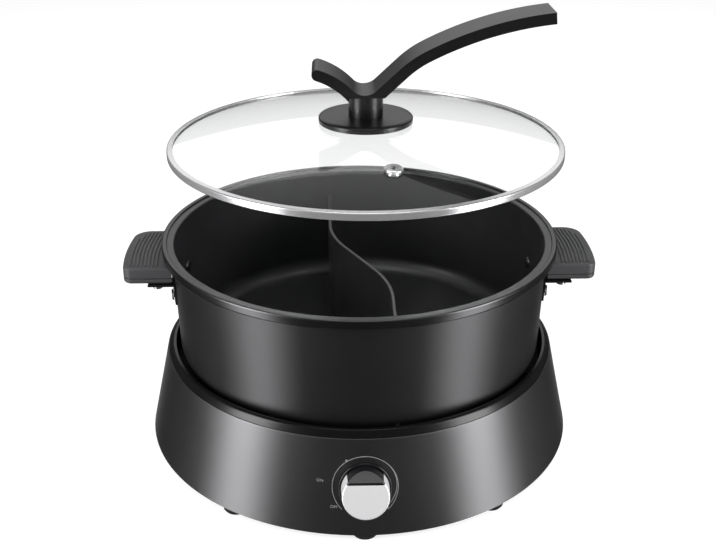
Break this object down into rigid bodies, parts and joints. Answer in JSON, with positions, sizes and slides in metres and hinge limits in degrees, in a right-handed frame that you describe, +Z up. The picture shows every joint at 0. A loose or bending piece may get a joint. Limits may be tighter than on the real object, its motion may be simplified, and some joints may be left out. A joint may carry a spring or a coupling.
{
  "type": "electric hot pot with lid",
  "caption": "Electric hot pot: conical heated base with a front dial, lift-out divided pot with side grips, raised glass lid with a tick-shaped handle.",
  "frame": {"origin": "on the pot's axis at table height, under the middle of the base", "axes": "+Z up; the dial faces -Y; +X is to the right of someone facing the dial"},
  "size_m": [0.382, 0.382, 0.3544],
  "materials": {
    "housing_black": "satin black, fine-grained",
    "ring_black": "semi-gloss black",
    "tray_steel": "dark steel sheet",
    "zinc_steel": "zinc-plated",
    "cast_aluminium": "cast, machined face",
    "element_steel": "heat-tinted steel tube",
    "ceramic": "glazed ceramic",
    "copper": "drawn copper",
    "brass": "turned",
    "gloss_black": "gloss black",
    "inlet_black": "moulded black",
    "lead_brown": "silicone-sheathed wire",
    "lead_blue": "silicone-sheathed wire",
    "lead_red": "silicone-sheathed wire",
    "lead_green": "silicone-sheathed wire",
    "cover_black": "moulded black",
    "foot_rubber": "soft black rubber",
    "knob_silver": "satin silver plating",
    "pot_coating": "satin black non-stick coating over aluminium",
    "grip_plastic": "dark grey heat-resistant plastic",
    "bracket_black": "black-coated steel",
    "lid_glass": "clear tempered glass",
    "rim_steel": "rolled stainless steel",
    "lid_plastic": "satin black phenolic plastic",
    "silicone": "dark grey silicone rubber"
  },
  "bodies": {
    "base": {"base_shell": "housing_black", "top_ring": "ring_black", "heat_tray": "tray_steel", "tray_screws": "zinc_steel", "heating_plate": "cast_aluminium", "plate_screws": "zinc_steel", "heating_element": "element_steel", "element_bushes": "ceramic", "heat_shield": "tray_steel", "shield_screws": "zinc_steel", "sensor_bulb": "copper", "capillary": "copper", "bulb_clip": "zinc_steel", "thermostat_body": "ceramic", "thermostat_bush": "brass", "thermostat_nut": "zinc_steel", "dial_bezel": "gloss_black", "inlet_housing": "inlet_black", "inlet_pins": "brass", "inlet_screws": "zinc_steel", "live_lead": "lead_brown", "neutral_lead": "lead_blue", "thermal_fuse": "ceramic", "fuse_lead": "lead_blue", "element_lead": "lead_red", "earth_lead": "lead_green", "bottom_cover": "cover_black", "cover_screws": "zinc_steel", "feet": "foot_rubber"},
    "dial": {"thermostat_shaft": "zinc_steel", "dial_knob": "knob_silver", "dial_pointer": "gloss_black"},
    "pot": {"pot_shell": "pot_coating", "divider": "pot_coating", "left_handle": "grip_plastic", "right_handle": "grip_plastic", "left_bracket": "bracket_black", "right_bracket": "bracket_black", "handle_screws": "zinc_steel", "handle_rivets": "bracket_black"},
    "lid": {"lid_glass": "lid_glass", "lid_rim": "rim_steel", "vent_grommet": "rim_steel", "handle_disc": "lid_plastic", "disc_gasket": "silicone", "lid_handle": "lid_plastic", "handle_insert": "brass", "lower_gasket": "silicone", "lid_washer": "rim_steel", "lid_screw": "rim_steel"}
  },
  "joints": [
    {"name": "dial_turn", "type": "hinge", "parent": "base", "child": "dial", "pos_m": [0, -0.16977, 0.0425], "axis": [0, 0.9749, -0.2228], "range_deg": [-135, 135]},
    {"name": "pot_lift", "type": "slide", "parent": "base", "child": "pot", "axis": [0, 0, 1], "range_m": [0, 0.12]},
    {"name": "lid_lift", "type": "slide", "parent": "pot", "child": "lid", "axis": [0.0682, 0, 0.9977], "range_m": [-0.07327, 0]}
  ]
}
